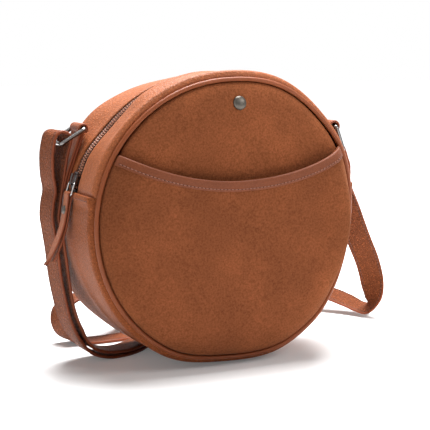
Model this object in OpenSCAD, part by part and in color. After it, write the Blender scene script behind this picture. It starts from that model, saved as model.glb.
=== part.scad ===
// Round crossbody bag: a suede front with a slip pocket, a leather gusset with
// a zip over the top, piped rims, and a long flat strap on two wire rings.
// X runs to the right, Y to the back and Z up. The origin is the middle of the
// pressed base. Angles round the bag start at +X and turn towards +Z.

/* [Body] */
// Outer radius of the gusset round the bag
bag_r = 106.8; // [100:0.1:115]
// Depth from the front seam to the back seam
bag_depth = 78; // [70:1:90]
// How far the round base is pressed flat
base_flat = 1.8; // [1.2:0.1:2.1]
// Forward bulge of the front panel
front_crown = 9; // [7:0.5:11]
// Forward bulge of the slip pocket's panel
pocket_crown = 17; // [16:0.5:20]
// Backward bulge of the back panel
back_crown = 7; // [5:0.5:10]
// Thickness of the front, back and pocket panels
panel_t = 1.6; // [1.2:0.1:2]
// Thickness of the gusset leather
gusset_t = 1.8; // [1.4:0.1:2.2]
// Thickness of the foam behind the leather
foam_t = 2; // [1:0.1:3]
// Thickness of the lining cloth
lining_t = 0.6; // [0.4:0.1:1]

/* [Piping] */
// Radius of the piping
piping_r = 2.3; // [2:0.1:2.4]
// Radius of the cord inside the piping
cord_r = 1.4; // [1:0.1:1.6]
// Width of the flange that is sewn into the seam
flange_w = 7; // [5:0.5:10]

/* [Slip pocket] */
// Height of the mouth's lowest point over the bag's centre
mouth_h = 30.6; // [20:0.1:40]
// Radius of the mouth's scooped edge
mouth_r = 192; // [140:1:230]
// Width of the leather binding along the mouth
binding_w = 7.5; // [6:0.1:9]
// Thickness of the binding leather
binding_t = 0.8; // [0.6:0.1:1]

/* [Zip] */
// Angle of the side seams over the horizontal
seam_a = 12; // [10:0.5:14]
// Width of the slot between the two gusset strips
slot_w = 13.5; // [12:0.5:15]
// Width of each tape
tape_w = 15; // [12:0.5:18]
// Thickness of each tape
tape_t = 0.8; // [0.6:0.1:1]
// Width of each half of the coil
coil_w = 2.4; // [2:0.1:2.8]
// Height of the coil
coil_h = 1.6; // [1.4:0.1:2]
// Slit between the halves, where the slider's neck runs
slit_w = 1.4; // [1.3:0.1:1.8]
// Length of the slider along the zip
slider_len = 12; // [10:0.5:14]
// Angle of the slider's middle when the zip is closed
slider_a = 163.5; // [162:0.1:163.6]

/* [Pull] */
// Radius of the puller's wire
pull_wire_r = 0.7; // [0.6:0.05:0.9]
// Length of the puller from bar to bar
puller_len = 8.5; // [8:0.5:11]
// Length of the folded leather pull
pull_len = 52; // [45:1:70]
// Width of the leather pull
pull_w = 9.2; // [8:0.1:12]
// Thickness of one layer of the leather pull
pull_t = 1.5; // [1.3:0.1:2]
// Radius of the rivet's heads
rivet_head_r = 3.1; // [2.5:0.1:4]

/* [Rings and chapes] */
// Radius of the ring wire
ring_wire_r = 1.5; // [1.2:0.1:1.8]
// Distance between a ring's two bars
ring_pitch = 20; // [18:0.5:24]
// Width of the chapes
chape_w = 20; // [18:0.5:22]
// Thickness of the chape leather
chape_t = 1.8; // [1.4:0.1:2]
// Straight length of the left chape
left_chape_len = 30; // [26:0.5:34]
// Straight length of the right chape
right_chape_len = 38.6; // [34:0.1:44]
// Outward lean of the right chape
right_chape_lean = 12.3; // [10:0.1:20]
// Direction of the left ring from its chape
left_ring_a = 210; // [200:1:220]
// Direction of the right ring from its chape
right_ring_a = 290; // [285:1:300]

/* [Strap] */
// Width of the strap
strap_w = 20; // [18:0.5:21]
// Thickness of the strap
strap_t = 2.2; // [1.8:0.1:2.4]
// Radius of the middle of the strap's loop round the left ring
loop_r = 5.5; // [5.2:0.1:7]
// Length of the adjuster along the strap
adjuster_len = 18; // [16:0.5:22]
// Radius of the adjuster's bars
adjuster_bar_r = 1; // [0.8:0.05:1.3]

/* [Stud] */
// Radius of the stud's cap
stud_r = 5; // [3:0.5:7]
// Height of the stud over the bag's centre
stud_h = 84; // [78:0.5:88]
// Sideways place of the stud
stud_x = 3; // [-6:0.5:6]

/* [Hidden] */

$fn = 96;
// Gap between layers that are sewn or pressed together
lay_gap = 0.1;
// Gap between pieces that move past each other
run_gap = 0.3;
// Radial clearance of a wire in its bore
bore_fit = 0.08;
// Overrun of a cut past the piece that it cuts
over = 1;
// Power of the panels' pillow curve and its number of steps
crown_power = 6;
dome_steps = 14;
shoulder_steps = 6;

centre_z = bag_r - base_flat;
front_y = -bag_depth / 2;
back_y = bag_depth / 2;

// Radial roll of the gusset's edges, their length, and where the edges end
shoulder = 2.6;
shoulder_len = 4;
edge_r = bag_r - shoulder;
piping_inset = 4.5;
piping_ring_r = bag_r - piping_inset;
piping_out = 0.5;
gusset_h = bag_depth / 2 - (piping_r - piping_out) - lay_gap;

// Radii of the stacked panels inside the piping
pocket_r = piping_ring_r - piping_r - lay_gap;
front_r = pocket_r - panel_t - lay_gap;
panel_rim = 1.5;
flange_t = 1;
foam_r = front_r - panel_t - lay_gap;
foam_crown = front_crown - panel_t - lay_gap;
lining_r = foam_r - foam_t - lay_gap;
lining_crown = foam_crown - foam_t - lay_gap;
back_foam_crown = back_crown - panel_t - lay_gap;
back_lining_crown = back_foam_crown - foam_t - lay_gap;
mouth_z = centre_z + mouth_h + mouth_r;

// Folded edge of the bottom gusset over the zip strips' ends
fold_t = 1;
fold_len = 9;
fold_a = fold_len / bag_r * 180 / PI;
butt_a = lay_gap / bag_r * 180 / PI;
lip_drop = 1.2;
lip_len = 1.8;
gusset_lining_h = bag_depth / 2 - flange_w - run_gap;

// Radii through the zip, from the tape outwards
tape_r = bag_r - gusset_t - lay_gap;
coil_r = tape_r + lay_gap / 2;
coil_chamfer = 0.5;
coil_end_a = 1.2;
stop_a = 0.9;
slider_flange_t = 1;
slider_w = 2 * (coil_w + run_gap + slider_flange_t) + slit_w;
slider_plate_t = 1.1;
slider_sag = slider_len * slider_len / bag_r / 8;
slider_top_r = coil_r + coil_h + run_gap;
slider_low_r = tape_r - tape_t - run_gap - slider_sag;
slider_outline_share = [[-1, 0.75], [-0.7, 1], [0.45, 1], [1, 0.7]];
flange_share = 0.5;
neck_t = slit_w - 2 * run_gap;
neck_share = 0.35;

// The slider's crown is an arch, and the puller hangs in its lower end
pull_bore_r = pull_wire_r + bore_fit;
crown_w = 2;
crown_wall = 0.8;
crown_slot = 5.5;
crown_x = -(crown_slot - pull_bore_r) / 2;
crown_r = slider_top_r + slider_plate_t + pull_bore_r + lay_gap;
pivot_a = slider_a - atan(crown_x / crown_r);
pivot = norm([crown_x, crown_r]) * [cos(pivot_a), sin(pivot_a)];
puller_dir = 252;
wire_corner_share = 2;
puller_in = pull_w + 2 * run_gap;
puller_end = pivot + puller_len * [cos(puller_dir), sin(puller_dir)];
pull_lean = 10;
rivet_s = 11;
rivet_r = 1.2;
rivet_head_t = 1;
rivet_edge_share = 0.9;

// Places of the two layers of the pull: along its length and out from it
pull_outer_share = [[0.0, 0.03], [0.11, 0.017], [0.27, 0.017], [0.42, 0.024], [0.58, 0.05],
    [0.75, 0.093], [0.9, 0.142], [1.0, 0.179]];
pull_inner_share = [[0.0, -0.03], [0.11, -0.017], [0.27, -0.017], [0.42, -0.012], [0.58, 0.006],
    [0.75, 0.038], [0.92, 0.078]];
pull_tip_share = 0.72;
tip_w_share = 0.16;

// Chapes and rings, as places in X and Z from the bag's centre
chape_place_share = 0.442;
chape_y = slot_w / 2 + chape_place_share * (bag_depth - slot_w) / 2;
chape_bore_r = ring_wire_r + bore_fit;
chape_mid_r = bag_r + lay_gap + chape_t;
left_tangent_a = 160;
chape_arc_steps = 4;
chape_run_share = [0, 0.5, 1];
right_gap_a = 0.5;
right_start_a = seam_a + right_gap_a;
left_start = chape_mid_r * [cos(left_tangent_a), sin(left_tangent_a)];
left_bar = left_start + left_chape_len * [sin(left_tangent_a), -cos(left_tangent_a)];
right_start = chape_mid_r * [cos(right_start_a), sin(right_start_a)];
right_bar = right_start + right_chape_len * [sin(right_chape_lean), cos(right_chape_lean)];
ring_slack = 1.5;
ring_in = chape_w + ring_slack;
ring_corner = ring_slack / 2 + ring_wire_r - run_gap;
left_far = left_bar + ring_pitch * [cos(left_ring_a), sin(left_ring_a)];
right_far = right_bar + ring_pitch * [cos(right_ring_a), sin(right_ring_a)];

// The adjuster stands on the floor behind the bag
adjuster_share = [0.122, 0.197];
adjuster_x = adjuster_share[0] * bag_r;
adjuster_y = back_y + adjuster_share[1] * bag_r;
adjuster_side = 1.6;
strap_up = 2 * adjuster_bar_r + lay_gap + run_gap + strap_t / 2;
end_loop_r = adjuster_bar_r + bore_fit + strap_t;
centre_bar_z = strap_up + strap_t / 2 + run_gap + end_loop_r;
end_loop_len = 17;

// Heights of the strap: lying flat, and lying on another layer
lie = strap_t / 2 + lay_gap;
lie_on = lie + strap_t + 3 * run_gap;

// The strap's route: each row is a place and the direction of its front edge.
// Places are shares of the bag's radius. The second number moves the row from
// the chapes' plane, at 0, to the bag's back face, at 1.
front = [0, -1, 0];
function at(x_share, plane, y_share, z, w = front) =
    [[x_share * bag_r, chape_y + plane * (back_y - chape_y) + y_share * bag_r, z], w];
function up(share) = share * bag_r;
function bar_point(bar, radius, a) =
    [[bar[0] + radius * cos(a), chape_y, centre_z + bar[1] + radius * sin(a)], front];

end_x = adjuster_x - end_loop_len - run_gap;
left_loop_mid = left_far + [loop_r, 2 * loop_r] / 7;
fold_r = ring_wire_r + run_gap + strap_t / 2;

tail_rows = [
    [[end_x, adjuster_y, centre_bar_z], front],
    at(-0.140, 1, adjuster_share[1], centre_bar_z - strap_t / 3),
    at(-0.225, 1, 0.184, strap_up + strap_t + 2 * run_gap),
    at(-0.318, 1, 0.153, lie_on + strap_t / 4)];
tail_run_rows = [
    at(-0.393, 1, 0.116, lie_on),
    at(-0.506, 1, 0.045, lie_on),
    at(-0.618, 0.86, 0, lie_on + strap_t / 3),
    at(-0.721, 0.42, 0, lie_on + 2 * strap_t),
    at(-0.805, 0.12, 0, up(0.136)),
    at(-0.857, 0.02, 0, up(0.197))];
left_rows = [
    at(-0.904, 0, 0, up(0.309)),
    at(-0.941, 0, 0, up(0.445)),
    at(-0.970, 0, 0, up(0.609)),
    at(-0.997, 0, 0, up(0.768)),
    at(-1.036, 0, 0, up(0.927)),
    at(-1.055, 0, 0, up(1.002)),
    at(-1.047, 0, 0, up(1.067)),
    at(-1.030, 0, 0, up(1.161)),
    at(-1.014, 0, 0, up(1.273)),
    at(-0.993, 0, 0, up(1.419))];
loop_rows = [for (a = [0 : 36 : 180]) bar_point(left_loop_mid, loop_r, a)];
outer_rows = [
    at(-1.083, 0, 0, up(1.423)),
    at(-1.077, 0, 0, up(1.255)),
    at(-1.078, 0, 0, up(1.161)),
    at(-1.089, 0, 0, up(1.095)),
    at(-1.089, 0, 0, up(1.011)),
    at(-1.066, 0, 0, up(0.927)),
    at(-1.040, 0, 0, up(0.768)),
    at(-1.021, 0, 0, up(0.609)),
    at(-0.992, 0, 0, up(0.445)),
    at(-0.950, 0, 0, up(0.285))];
landing_rows = [
    at(-0.880, 0.04, 0, up(0.150)),
    at(-0.787, 0.22, 0, up(0.060)),
    at(-0.674, 0.58, 0, lie + strap_t / 4),
    at(-0.562, 1, 0.005, lie),
    at(-0.449, 1, 0.084, lie),
    at(-0.337, 1, 0.145, lie + strap_t / 6),
    at(-0.225, 1, 0.184, strap_up - strap_t / 4)];
adjuster_rows = [
    at(-0.140, 1, adjuster_share[1], strap_up),
    at(adjuster_share[0], 1, adjuster_share[1], strap_up),
    at(0.390, 1, adjuster_share[1], strap_up)];
fold_rows = [
    at(0.490, 1, 0.199, strap_up - strap_t / 2),
    at(0.590, 1, 0.206, lie + strap_t / 4),
    at(0.700, 1, 0.227, up(0.038)),
    at(0.775, 1, 0.279, up(0.115)),
    at(0.745, 1, 0.345, up(0.205)),
    at(0.640, 1, 0.390, up(0.215)),
    at(0.520, 1, 0.415, up(0.130)),
    at(0.400, 1, 0.426, up(0.045)),
    at(0.270, 1, 0.430, lie)];
middle_rows = [
    at(0.050, 1, 0.430, lie),
    at(-0.200, 1, 0.422, lie),
    at(-0.450, 1, 0.400, lie),
    at(-0.600, 1, 0.375, lie),
    at(-0.720, 1, 0.352, lie + strap_t / 4),
    at(-0.815, 1, 0.335, up(0.042)),
    at(-0.880, 1, 0.325, up(0.100)),
    at(-0.905, 1, 0.325, up(0.185)),
    at(-0.880, 1, 0.330, up(0.265)),
    at(-0.800, 1, 0.345, up(0.325)),
    at(-0.690, 1, 0.370, up(0.335)),
    at(-0.580, 1, 0.405, up(0.285)),
    at(-0.470, 1, 0.455, up(0.195)),
    at(-0.370, 1, 0.520, up(0.112)),
    at(-0.260, 1, 0.595, up(0.052)),
    at(-0.120, 1, 0.635, lie + strap_t / 4)];
rear_rows = [
    at(0.030, 1, 0.640, lie),
    at(0.320, 1, 0.640, lie),
    at(0.620, 1, 0.641, lie + strap_t / 4),
    at(0.861, 1, 0.655, up(0.037), [0, -1, -0.2]),
    at(1.105, 1, 0.660, up(0.089), [-0.1, -0.9, -0.35])];
curl_rows = [
    at(1.330, 1, 0.613, up(0.145), [-0.45, -0.75, -0.35]),
    at(1.489, 1, 0.510, up(0.145), [-0.7, -0.6, -0.32]),
    at(1.592, 1, 0.375, up(0.103), [-0.75, -0.55, -0.28]),
    at(1.657, 1, 0.262, up(0.064), [-0.7, -0.65, -0.2]),
    at(1.690, 1, 0.183, up(0.080), [-0.25, -0.95, 0]),
    at(1.709, 1, 0.159, up(0.173), [0.3, -0.92, 0.12]),
    at(1.676, 1, 0.145, up(0.318), [0.8, -0.55, 0.25])];
right_rows = [
    at(1.592, 1, 0.098, up(0.478), [0.87, -0.43, 0.25]),
    at(1.470, 1, 0.028, up(0.655), [0.87, -0.43, 0.22]),
    at(1.330, 0.667, 0, up(0.880), [0.8, -0.55, 0.2]),
    at(1.213, 0.25, 0, up(1.105), [0.4, -0.9, 0.05])];
sewn_rows = [
    bar_point(right_far, 5.4 * fold_r, -62),
    bar_point(right_far, 3 * fold_r, -52),
    bar_point(right_far, fold_r, 0),
    bar_point(right_far, fold_r, 60),
    bar_point(right_far, fold_r, 120),
    bar_point(right_far, fold_r, 180),
    bar_point(right_far, 2.5 * fold_r, -104),
    bar_point(right_far, 5 * fold_r, -86),
    bar_point(right_far, 7 * fold_r, -80)];
route = concat(tail_rows, tail_run_rows, left_rows, loop_rows, outer_rows, landing_rows,
    adjuster_rows, fold_rows, middle_rows, rear_rows, curl_rows, right_rows, sewn_rows);

// Row numbers where one stretch of the strap ends and the next begins
tail_end = len(tail_rows) - 1;
hang_from = tail_end + len(tail_run_rows) + 1;
hang_to = hang_from + len(left_rows) + len(loop_rows) + len(outer_rows) - 1;
front_to = hang_to + len(landing_rows) + len(adjuster_rows);
rear_to = front_to + len(fold_rows) + len(middle_rows) + len(rear_rows);
curl_to = rear_to + len(curl_rows);
route_end = len(route) - 1;
strap_steps = 3;

// The stud sits square on the pillow curve of the front panel
stud_share = norm([stud_x, stud_h]) / front_r;
stud_out = front_crown * sqrt(1 - pow(stud_share, crown_power));
stud_slope = atan(crown_power / 2 * front_crown * front_crown
    * pow(stud_share, crown_power - 1) / stud_out / front_r);
stud_shank_r = 1.1;
stud_cap_h = 2.4;
washer_r = 4;
washer_t = 0.8;

echo(strap_length_mm = route_length(0, route_end));

// Shapes that several pieces share

function reversed(list) = [for (i = [len(list) - 1 : -1 : 0]) list[i]];

function dome(r, crown) = [for (i = [0 : dome_steps]) let (s = sin(90 * i / dome_steps))
    [r * s, crown * sqrt(1 - pow(s, crown_power))]];

module dome_shell(r, crown, t, rim = panel_rim) {
    rotate_extrude()
        polygon(concat(dome(r, crown), [[r, -rim], [r - t, -rim]],
            reversed(dome(r - t, crown - t))));
}

module on_front() {
    translate([0, front_y, centre_z]) rotate([90, 0, 0]) children();
}

module on_back() {
    translate([0, back_y, centre_z]) rotate([-90, 0, 0]) children();
}

module revolved() {
    translate([0, 0, centre_z]) rotate([-90, 0, 0]) rotate_extrude() children();
}

module arc(from_a, to_a) {
    translate([0, 0, centre_z]) rotate([-90, 0, 0]) rotate([0, 0, -to_a])
        rotate_extrude(angle = to_a - from_a) children();
}

module zip_arc() {
    arc(seam_a + butt_a, 180 - seam_a - butt_a) children();
}

module above(z) {
    translate([-2 * bag_r, -bag_depth, z]) cube([4 * bag_r, 2 * bag_depth, 3 * bag_r]);
}

// The half of the ring over the two side seams
module over_seams(a) {
    far = 2 * bag_r;
    translate([0, bag_depth, centre_z]) rotate([90, 0, 0]) linear_extrude(2 * bag_depth)
        polygon([[0, 0], far * [cos(a), sin(a)], far * [1, 2], far * [-1, 2],
            far * [-cos(a), sin(a)]]);
}

// A straight bar along Y whose middle is at a place in X and Z
module bar_y(place, r, w) {
    translate([place[0], w / 2, place[1]]) rotate([90, 0, 0]) cylinder(r = r, h = w);
}

// A rectangle of round wire: one bar at the origin, the other along direction a
module wire_frame(pitch, inner_w, wire_r, corner, a) {
    half = inner_w / 2 + wire_r;
    rotate([0, -a, 0]) {
        for (x = [0, pitch]) bar_y([x, 0], wire_r, 2 * (half - corner));
        for (side = [-1, 1]) translate([corner, side * half, 0]) rotate([0, 90, 0])
            cylinder(r = wire_r, h = pitch - 2 * corner);
        for (x = [0, 1], side = [-1, 1])
            translate([x * pitch + (1 - 2 * x) * corner, side * (half - corner), 0])
                rotate([0, 0, (1 - 2 * x) * side > 0 ? (x > 0 ? 180 : 90) + 90 * (side < 0 ? 1 : 0)
                    : (x > 0 ? 0 : 180)])
                    rotate_extrude(angle = 90) translate([corner, 0]) circle(r = wire_r);
    }
}

// The outline of a strip of leather of even thickness along a row of places
function unit(v) = v / norm(v);
function along(p, i) = unit(p[min(i + 1, len(p) - 1)] - p[max(i - 1, 0)]);
function beside(p, i, d) = let (t = along(p, i)) p[i] + d * [-t[1], t[0]];
function strip(p, t) = concat([for (i = [0 : len(p) - 1]) beside(p, i, t / 2)],
    [for (i = [len(p) - 1 : -1 : 0]) beside(p, i, -t / 2)]);

// A smooth line through the rows of the route, and the strap's corners on it
function row(i) = route[max(0, min(route_end, i))];
function smooth(a, b, c, d, t) = (2 * b + (c - a) * t + (2 * a - 5 * b + 4 * c - d) * t * t
    + (3 * b - a - 3 * c + d) * t * t * t) / 2;
function spot(k) = let (i = floor(k / strap_steps), t = k / strap_steps - i)
    smooth(row(i - 1)[0], row(i)[0], row(i + 1)[0], row(i + 2)[0], t);
function edge_dir(k) = let (i = floor(k / strap_steps), t = k / strap_steps - i)
    row(i)[1] * (1 - t) + row(i + 1)[1] * t;
function heading(k) = let (last = route_end * strap_steps)
    unit(spot(min(k + 0.5, last)) - spot(max(k - 0.5, 0)));
function corners(k) = let (c = spot(k), t = heading(k), e = edge_dir(k),
    w = unit(e - (e * t) * t) * strap_w / 2, n = cross(t, unit(w)) * strap_t / 2)
    [c + w + n, c - w + n, c - w - n, c + w - n];
function route_length(from_row, to_row) = let (a = from_row * strap_steps, b = to_row * strap_steps)
    total([for (k = [a : b - 1]) norm(spot(k + 1) - spot(k))]);
function total(v) = v * [for (i = v) 1];

module strap(from_row, to_row) {
    first = from_row * strap_steps;
    n = (to_row - from_row) * strap_steps;
    points = [for (k = [0 : n]) each corners(first + k)];
    sides = [for (k = [0 : n - 1], j = [0 : 3]) let (a = 4 * k + j, b = 4 * k + (j + 1) % 4)
        each [[a, b, b + 4], [a, b + 4, a + 4]]];
    polyhedron(points, concat([[0, 2, 1], [0, 3, 2]], sides,
        [[4 * n, 4 * n + 1, 4 * n + 2], [4 * n, 4 * n + 2, 4 * n + 3]]));
}

// Front of the bag

module stud_place() {
    translate([stud_x, front_y - stud_out, centre_z + stud_h]) rotate([90 - stud_slope, 0, 0])
        children();
}

module front_panel() {
    color("#9a5a38") difference() {
        on_front() {
            dome_shell(front_r, front_crown, panel_t, panel_rim + lay_gap);
            rotate_extrude() translate([front_r - panel_t, -panel_rim - lay_gap - panel_t])
                square([pocket_r - front_r + panel_t, panel_t]);
        }
        stud_place() cylinder(r = stud_shank_r + lay_gap, h = 6 * panel_t, center = true);
    }
}

module front_foam() {
    color("#d8cdb8") difference() {
        on_front() dome_shell(foam_r, foam_crown, foam_t);
        stud_place() cylinder(r = washer_r + lay_gap, h = 6 * foam_t, center = true);
    }
}

module front_lining() {
    color("#4a3a30") on_front() dome_shell(lining_r, lining_crown, lining_t);
}

// A cylinder along Y whose lower edge is the scoop of the pocket's mouth
module scoop(r) {
    translate([0, front_y + pocket_r, mouth_z]) rotate([90, 0, 0])
        cylinder(r = r, h = 2 * pocket_r, $fn = 180);
}

module front_pocket_panel() {
    color("#945635") difference() {
        on_front() dome_shell(pocket_r, pocket_crown, panel_t);
        scoop(mouth_r + binding_t + lay_gap);
    }
}

module pocket_binding() {
    outer_r = pocket_r + lay_gap + binding_t;
    core = pocket_crown + lay_gap;
    color("#8d5138") difference() {
        intersection() {
            on_front() dome_shell(outer_r, core + binding_t,
                panel_t + 2 * (binding_t + lay_gap));
            scoop(mouth_r + binding_w);
            on_front() translate([0, 0, piping_out + piping_r + run_gap])
                cylinder(r = outer_r, h = 2 * pocket_crown);
        }
        scoop(mouth_r);
        difference() {
            on_front() dome_shell(pocket_r + lay_gap, core, panel_t + 2 * lay_gap);
            scoop(mouth_r + binding_t);
        }
    }
}

module piping_cover() {
    rotate_extrude() {
        difference() {
            union() {
                translate([piping_ring_r, piping_out]) circle(r = piping_r, $fn = 32);
                translate([piping_ring_r - piping_r + lay_gap, -flange_w])
                    square([flange_t, flange_w]);
            }
            translate([piping_ring_r, piping_out]) circle(r = cord_r + lay_gap / 2, $fn = 32);
        }
    }
}

module piping_cord() {
    rotate_extrude() translate([piping_ring_r, piping_out]) circle(r = cord_r, $fn = 24);
}

module front_piping_cover() {
    color("#a4613f") on_front() piping_cover();
}

module front_piping_cord() {
    color("#e8e0d0") on_front() piping_cord();
}

// Back of the bag

module back_panel() {
    color("#a4613f") on_back() dome_shell(pocket_r, back_crown, panel_t);
}

module back_foam() {
    color("#d8cdb8") on_back() dome_shell(pocket_r - panel_t - lay_gap, back_foam_crown, foam_t);
}

module back_lining() {
    color("#4a3a30") on_back()
        dome_shell(pocket_r - panel_t - foam_t - 2 * lay_gap, back_lining_crown, lining_t);
}

module back_piping_cover() {
    color("#a4613f") on_back() piping_cover();
}

module back_piping_cord() {
    color("#e8e0d0") on_back() piping_cord();
}

// Gusset

function shoulder_curve(inward) = [for (i = [0 : shoulder_steps]) let (a = 90 * i / shoulder_steps)
    [edge_r + shoulder * sin(a) - inward, -gusset_h + shoulder_len * (1 - cos(a))]];
function flipped(list) = [for (i = [len(list) - 1 : -1 : 0]) [list[i][0], -list[i][1]]];

module gusset_fill(inward, reach) {
    curve = shoulder_curve(inward);
    revolved() polygon(concat([[0, -gusset_h - reach], [edge_r - inward, -gusset_h - reach]],
        curve, flipped(curve), [[edge_r - inward, gusset_h + reach], [0, gusset_h + reach]]));
}

module bottom_gusset() {
    color("#a5654a") {
        difference() {
            intersection() {
                gusset_fill(0, 0);
                above(0);
            }
            intersection() {
                gusset_fill(gusset_t, over);
                above(gusset_t);
            }
            over_seams(seam_a);
        }
        for (a = [seam_a - fold_a, 180 - seam_a], side = [0, 1]) mirror([0, side, 0])
            arc(a, a + fold_a) translate([bag_r - gusset_t / 2, slot_w / 2])
                square([fold_t + gusset_t / 2, gusset_h - shoulder_len - slot_w / 2]);
    }
}

// A layer inside the bottom gusset, flat where the base is flat
module gusset_layer(depth, t) {
    half = gusset_lining_h;
    difference() {
        intersection() {
            bar_y([0, centre_z], bag_r - depth, 2 * half);
            above(depth);
        }
        intersection() {
            bar_y([0, centre_z], bag_r - depth - t, 2 * (half + over));
            above(depth + t);
        }
        over_seams(seam_a - fold_a);
    }
}

module gusset_foam() {
    color("#d8cdb8") gusset_layer(gusset_t + lay_gap, foam_t);
}

module gusset_lining() {
    color("#4a3a30") gusset_layer(gusset_t + foam_t + 2 * lay_gap, lining_t);
}

function zip_strip() = let (edge = -slot_w / 2)
    concat(shoulder_curve(0), [for (i = [0 : shoulder_steps]) let (a = 90 * i / shoulder_steps)
        [bag_r - lip_drop * (1 - cos(a)), edge - lip_len * (1 - sin(a))]],
        [[bag_r - gusset_t, edge]], reversed(shoulder_curve(gusset_t)));

module zip_gusset_front() {
    color("#b87552") zip_arc() polygon(zip_strip());
}

module zip_gusset_rear() {
    color("#b87552") zip_arc() mirror([0, 1]) polygon(zip_strip());
}

// Zip

module tape() {
    translate([tape_r - tape_t, -slit_w / 2 - tape_w]) square([tape_t, tape_w]);
}

module coil_half() {
    inner = -slit_w / 2;
    polygon([[coil_r, inner], [coil_r + coil_h - coil_chamfer, inner],
        [coil_r + coil_h, inner - coil_chamfer], [coil_r + coil_h, inner - coil_w + coil_chamfer],
        [coil_r + coil_h - coil_chamfer, inner - coil_w], [coil_r, inner - coil_w]]);
}

module zip_tape_front() {
    color("#4b2f24") zip_arc() tape();
}

module zip_tape_rear() {
    color("#4b2f24") zip_arc() mirror([0, 1]) tape();
}

module coil_arc() {
    arc(seam_a + coil_end_a + lay_gap, 180 - seam_a - coil_end_a - lay_gap) children();
}

module zip_coil_front() {
    color("#8a5b44") coil_arc() coil_half();
}

module zip_coil_rear() {
    color("#8a5b44") coil_arc() mirror([0, 1]) coil_half();
}

module zip_end_stops() {
    stop_w = coil_w + slit_w / 2;
    color("#55504c") {
        arc(seam_a + coil_end_a - stop_a, seam_a + coil_end_a)
            translate([coil_r, -stop_w]) square([coil_h, 2 * stop_w]);
        for (side = [0, 1]) mirror([0, side, 0])
            arc(180 - seam_a - coil_end_a, 180 - seam_a - coil_end_a + stop_a)
                translate([coil_r, slit_w / 2]) square([coil_h, coil_w]);
    }
}

// The slider's own place: X along the zip, Y across it and Z out from the bag
module on_slider() {
    translate([0, 0, centre_z]) rotate([0, 90 - slider_a, 0]) children();
}

module slider_plate(r) {
    half = slider_len / 2;
    side = slider_w / 2;
    outline = [for (p = slider_outline_share) [p[0] * half, p[1] * side]];
    translate([0, 0, r]) linear_extrude(slider_plate_t)
        polygon(concat(outline, [for (p = reversed(outline)) [p[0], -p[1]]]));
}

// The outline of the crown or of its slot, as two round ends and what joins them
module crown_stack(r, w) {
    for (x = [crown_x, crown_x + crown_slot]) bar_y([x, crown_r], r, w);
    translate([crown_x, -w / 2, crown_r - r]) cube([crown_slot, w, 2 * r]);
}

module zip_slider() {
    half = slider_len / 2;
    flange_y = slit_w / 2 + coil_w + run_gap;
    flange_h = slider_top_r - tape_r - run_gap;
    color("#3c3a3d") on_slider() difference() {
        union() {
            slider_plate(slider_top_r);
            slider_plate(slider_low_r - slider_plate_t);
            translate([-half, -neck_t / 2, slider_low_r - slider_plate_t / 2])
                cube([neck_share * half, neck_t, slider_top_r - slider_low_r + slider_plate_t]);
            for (side = [-1, 1])
                translate([-half * flange_share, side * (flange_y + slider_flange_t / 2)
                    - slider_flange_t / 2, slider_top_r - flange_h])
                    cube([2 * half * flange_share, slider_flange_t, flange_h + slider_plate_t / 2]);
            crown_stack(pull_bore_r + crown_wall, crown_w);
            translate([crown_x - pull_bore_r - crown_wall, -crown_w / 2,
                slider_top_r + slider_plate_t / 2])
                cube([crown_slot + 2 * pull_bore_r + 2 * crown_wall, crown_w,
                    crown_r - slider_top_r - slider_plate_t / 2]);
        }
        crown_stack(pull_bore_r, 2 * crown_w);
    }
}

// Puller and leather pull, both in the plane of the zip

module zip_puller() {
    color("#c9c7c4") translate([pivot[0], 0, centre_z + pivot[1]])
        wire_frame(puller_len, puller_in, pull_wire_r, wire_corner_share * pull_wire_r, puller_dir);
}

// Puts a shape, drawn down -Z and out along -X, on the puller's lower bar
module on_puller() {
    translate([puller_end[0], 0, centre_z + puller_end[1]]) rotate([0, pull_lean, 0]) children();
}

module pull_layer(share) {
    places = [for (p = share) pull_len * [-p[1], -p[0]]];
    translate([0, pull_w / 2, 0]) rotate([90, 0, 0]) linear_extrude(pull_w)
        polygon(strip(places, pull_t));
}

module leather_pull() {
    loop_out = pull_bore_r + pull_t;
    tip_from = pull_tip_share * pull_len;
    color("#a8664c") on_puller() difference() {
        intersection() {
            union() {
                bar_y([0, 0], loop_out, pull_w);
                pull_layer(pull_outer_share);
                pull_layer(pull_inner_share);
            }
            translate([-pull_len, 0, 0]) rotate([90, 0, 90]) linear_extrude(2 * pull_len)
                polygon([[-pull_w / 2, loop_out], [pull_w / 2, loop_out], [pull_w / 2, -tip_from],
                    [tip_w_share * pull_w / 2, -pull_len - pull_t],
                    [-tip_w_share * pull_w / 2, -pull_len - pull_t], [-pull_w / 2, -tip_from]]);
        }
        bar_y([0, 0], pull_bore_r, 2 * pull_w);
        rivet_place() cylinder(r = rivet_r + lay_gap / 2, h = 6 * pull_t, center = true);
    }
}

module rivet_place() {
    translate([0, 0, -rivet_s]) rotate([0, -90, 0]) children();
}

module pull_rivet() {
    half = pull_t + lay_gap + (pull_outer_share[1][1] * pull_len - pull_t / 2);
    head = [[rivet_r, half], [rivet_head_r, half],
        [rivet_head_r * rivet_edge_share, half + rivet_head_t / 2],
        [rivet_head_r / 2, half + rivet_head_t], [0, half + rivet_head_t]];
    color("#b9b5ac") on_puller() rivet_place() rotate_extrude($fn = 48)
        polygon(concat([for (p = reversed(head)) [p[0], -p[1]]], head));
}

// Chapes and rings

module chape(places, bar) {
    color("#8f4f30") translate([0, chape_y, centre_z]) difference() {
        union() {
            translate([0, chape_w / 2, 0]) rotate([90, 0, 0]) linear_extrude(chape_w)
                polygon(strip(places, 2 * chape_t));
            bar_y(bar, chape_bore_r + chape_t, chape_w);
        }
        bar_y(bar, chape_bore_r, 2 * chape_w);
    }
}

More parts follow.
